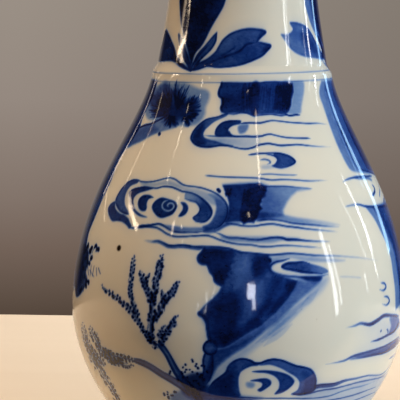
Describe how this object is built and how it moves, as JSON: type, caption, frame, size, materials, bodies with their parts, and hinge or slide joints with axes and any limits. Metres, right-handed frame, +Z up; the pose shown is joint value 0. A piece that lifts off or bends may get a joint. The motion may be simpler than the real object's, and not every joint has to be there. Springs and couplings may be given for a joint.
{
  "type": "double-gourd vase",
  "caption": "Tall glazed porcelain vase of double-gourd form: pear-shaped lower bulb, stepped waist, smaller upper bulb and a narrow flared mouth, standing on a trimmed foot ring.",
  "frame": {"origin": "centre of the foot ring, on the plane that the vase stands on", "axes": "+Z up along the turning axis, from the foot to the mouth; -Y faces the viewer of the picture"},
  "size_m": [0.176, 0.176, 0.3799],
  "materials": {
    "glaze": "gloss",
    "slip": "matte"
  },
  "bodies": {
    "root": {"lower_bulb_base": "glaze", "lower_bulb_shoulder": "glaze", "waist_and_upper_bulb": "glaze", "upper_bulb_shoulder": "glaze", "neck_and_lip": "glaze", "slip_joint_belly": "slip", "slip_joint_waist": "slip", "slip_joint_upper_bulb": "slip", "slip_joint_neck": "slip"}
  },
  "joints": []
}
